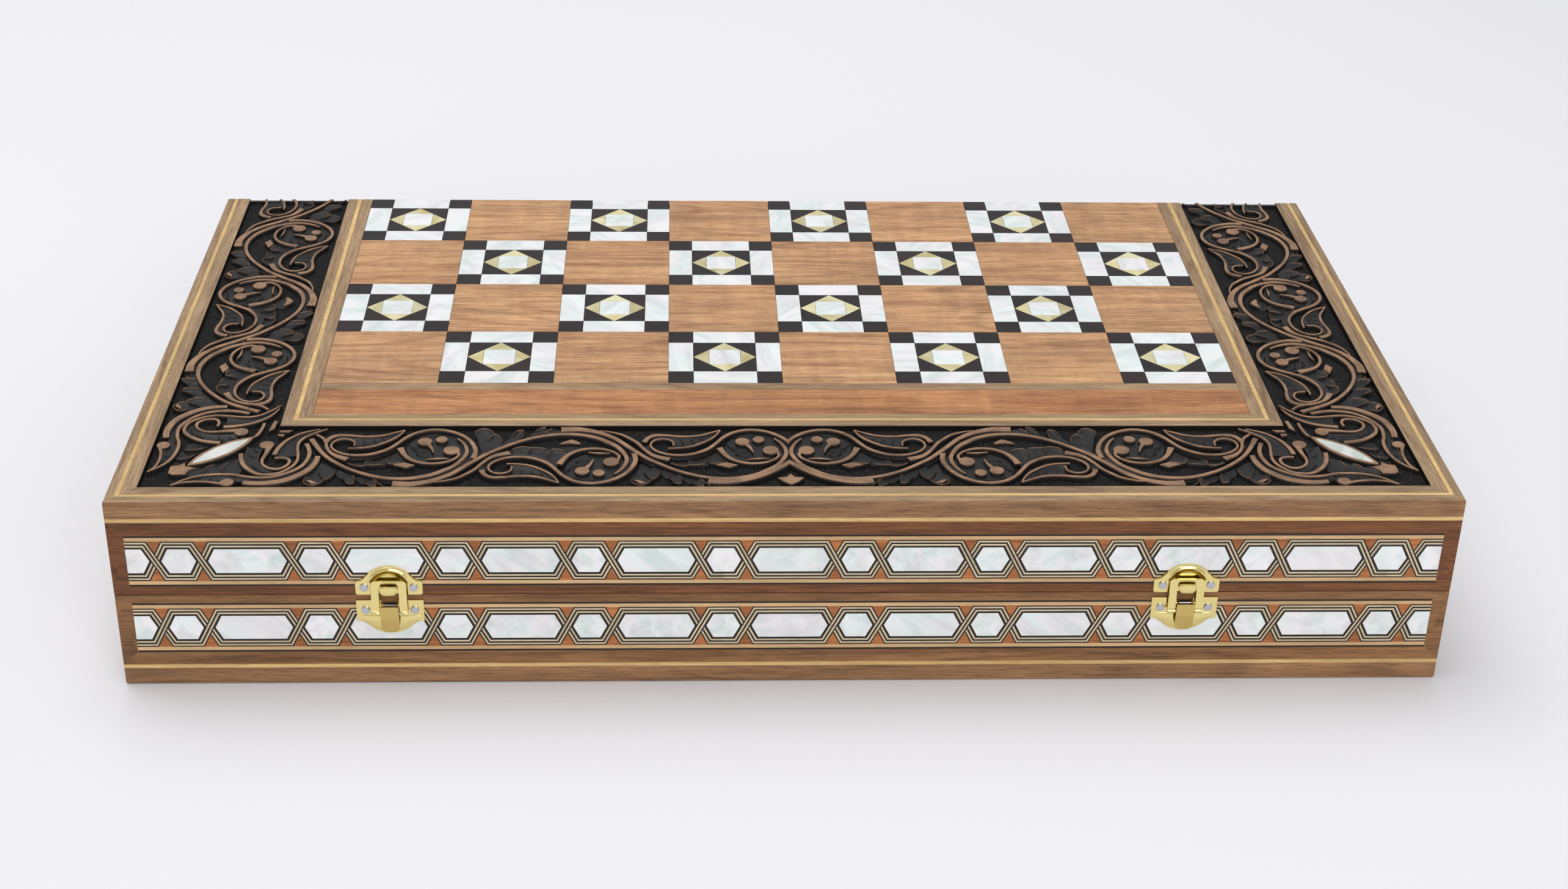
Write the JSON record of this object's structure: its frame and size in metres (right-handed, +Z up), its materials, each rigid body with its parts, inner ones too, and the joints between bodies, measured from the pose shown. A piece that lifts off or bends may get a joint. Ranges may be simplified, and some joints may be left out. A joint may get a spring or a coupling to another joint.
{
  "type": "backgammon board",
  "caption": "Folding wooden backgammon and chess case: hinged inlaid trays, carved surround, pearl marquetry, toggle latches in front, backgammon field inside.",
  "frame": {"origin": "middle of the closed case's footprint, on the underside it rests on", "axes": "+Z up through the lid, +X along the long side to the right, -Y towards the latches"},
  "size_m": [0.5, 0.2827, 0.08],
  "materials": {
    "walnut": "satin lacquer",
    "carved_walnut": "blackened, ridges rubbed back to brown",
    "red_wood": "satin lacquer, fine straight grain",
    "figured_wood": "satin lacquer, wavy figure",
    "white_pearl": "polished mother-of-pearl",
    "yellow_pearl": "polished yellow pearl",
    "dark_inlay": "polished dark brown",
    "lemonwood": "satin lacquer",
    "marquetry": "satin lacquer, line strips",
    "field_wood": "satin lacquer",
    "dark_wood": "satin lacquer",
    "light_wood": "satin lacquer",
    "brass": "stamped, bright",
    "steel": "bright"
  },
  "bodies": {
    "base": {"base_front_rail": "walnut", "base_back_rail": "walnut", "base_left_rail": "walnut", "base_right_rail": "walnut", "base_core_board": "walnut", "base_edge_lipping": "walnut", "base_inner_frame": "walnut", "base_carved_front": "carved_walnut", "base_carved_left": "carved_walnut", "base_carved_right": "carved_walnut", "base_red_strip": "red_wood", "base_wood_squares": "figured_wood", "base_pearl_inlay": "white_pearl", "base_band_pearls": "white_pearl", "base_dark_inlay": "dark_inlay", "base_yellow_inlay": "yellow_pearl", "base_stringing": "lemonwood", "base_marquetry_bands": "marquetry", "base_playing_field": "field_wood", "base_dark_points": "dark_wood", "base_light_points": "light_wood", "base_hinge_leaves": "brass", "base_hinge_screws": "brass", "base_latch_nails": "steel", "left_latch_keeper": "brass", "right_latch_keeper": "brass", "hinge_pins": "steel", "latch_lever_pins": "steel"},
    "lid": {"lid_front_rail": "walnut", "lid_back_rail": "walnut", "lid_left_rail": "walnut", "lid_right_rail": "walnut", "lid_core_board": "walnut", "lid_edge_lipping": "walnut", "lid_inner_frame": "walnut", "lid_carved_front": "carved_walnut", "lid_carved_left": "carved_walnut", "lid_carved_right": "carved_walnut", "lid_red_strip": "red_wood", "lid_wood_squares": "figured_wood", "lid_pearl_inlay": "white_pearl", "lid_band_pearls": "white_pearl", "lid_dark_inlay": "dark_inlay", "lid_yellow_inlay": "yellow_pearl", "lid_stringing": "lemonwood", "lid_marquetry_bands": "marquetry", "lid_playing_field": "field_wood", "lid_dark_points": "dark_wood", "lid_light_points": "light_wood", "lid_hinge_leaves": "brass", "lid_hinge_screws": "brass", "lid_latch_nails": "steel", "left_latch_catch": "brass", "right_latch_catch": "brass"},
    "left_lever": {"left_latch_lever": "brass"},
    "left_bail_pin": {"left_latch_bail_pin": "steel"},
    "left_bail": {"left_latch_bail": "brass"},
    "right_lever": {"right_latch_lever": "brass"},
    "right_bail_pin": {"right_latch_bail_pin": "steel"},
    "right_bail": {"right_latch_bail": "brass"}
  },
  "joints": [
    {"name": "lid_hinge", "type": "hinge", "parent": "base", "child": "lid", "pos_m": [0, 0.13825, 0.04], "axis": [-1, 0, 0], "range_deg": [0, 180]},
    {"name": "left_lever_lift", "type": "hinge", "parent": "base", "child": "left_lever", "pos_m": [-0.149, -0.1395, 0.036], "axis": [-1, 0, 0], "range_deg": [0, 90]},
    {"name": "left_bail_pin_turn", "type": "hinge", "parent": "left_lever", "child": "left_bail_pin", "pos_m": [-0.149, -0.1405, 0.0332], "axis": [-1, 0, 0], "range_deg": [-90, 0]},
    {"name": "left_bail_swing", "type": "hinge", "parent": "left_bail_pin", "child": "left_bail", "pos_m": [-0.149, -0.1405, 0.0332], "axis": [1, 0, 0], "range_deg": [0, 105]},
    {"name": "right_lever_lift", "type": "hinge", "parent": "base", "child": "right_lever", "pos_m": [0.149, -0.1395, 0.036], "axis": [-1, 0, 0], "range_deg": [0, 90]},
    {"name": "right_bail_pin_turn", "type": "hinge", "parent": "right_lever", "child": "right_bail_pin", "pos_m": [0.149, -0.1405, 0.0332], "axis": [-1, 0, 0], "range_deg": [-90, 0]},
    {"name": "right_bail_swing", "type": "hinge", "parent": "right_bail_pin", "child": "right_bail", "pos_m": [0.149, -0.1405, 0.0332], "axis": [1, 0, 0], "range_deg": [0, 105]}
  ],
  "couplings": [
    {"joint": "left_bail_pin_turn", "follows": "left_lever_lift", "ratio": -1},
    {"joint": "right_bail_pin_turn", "follows": "right_lever_lift", "ratio": -1}
  ]
}
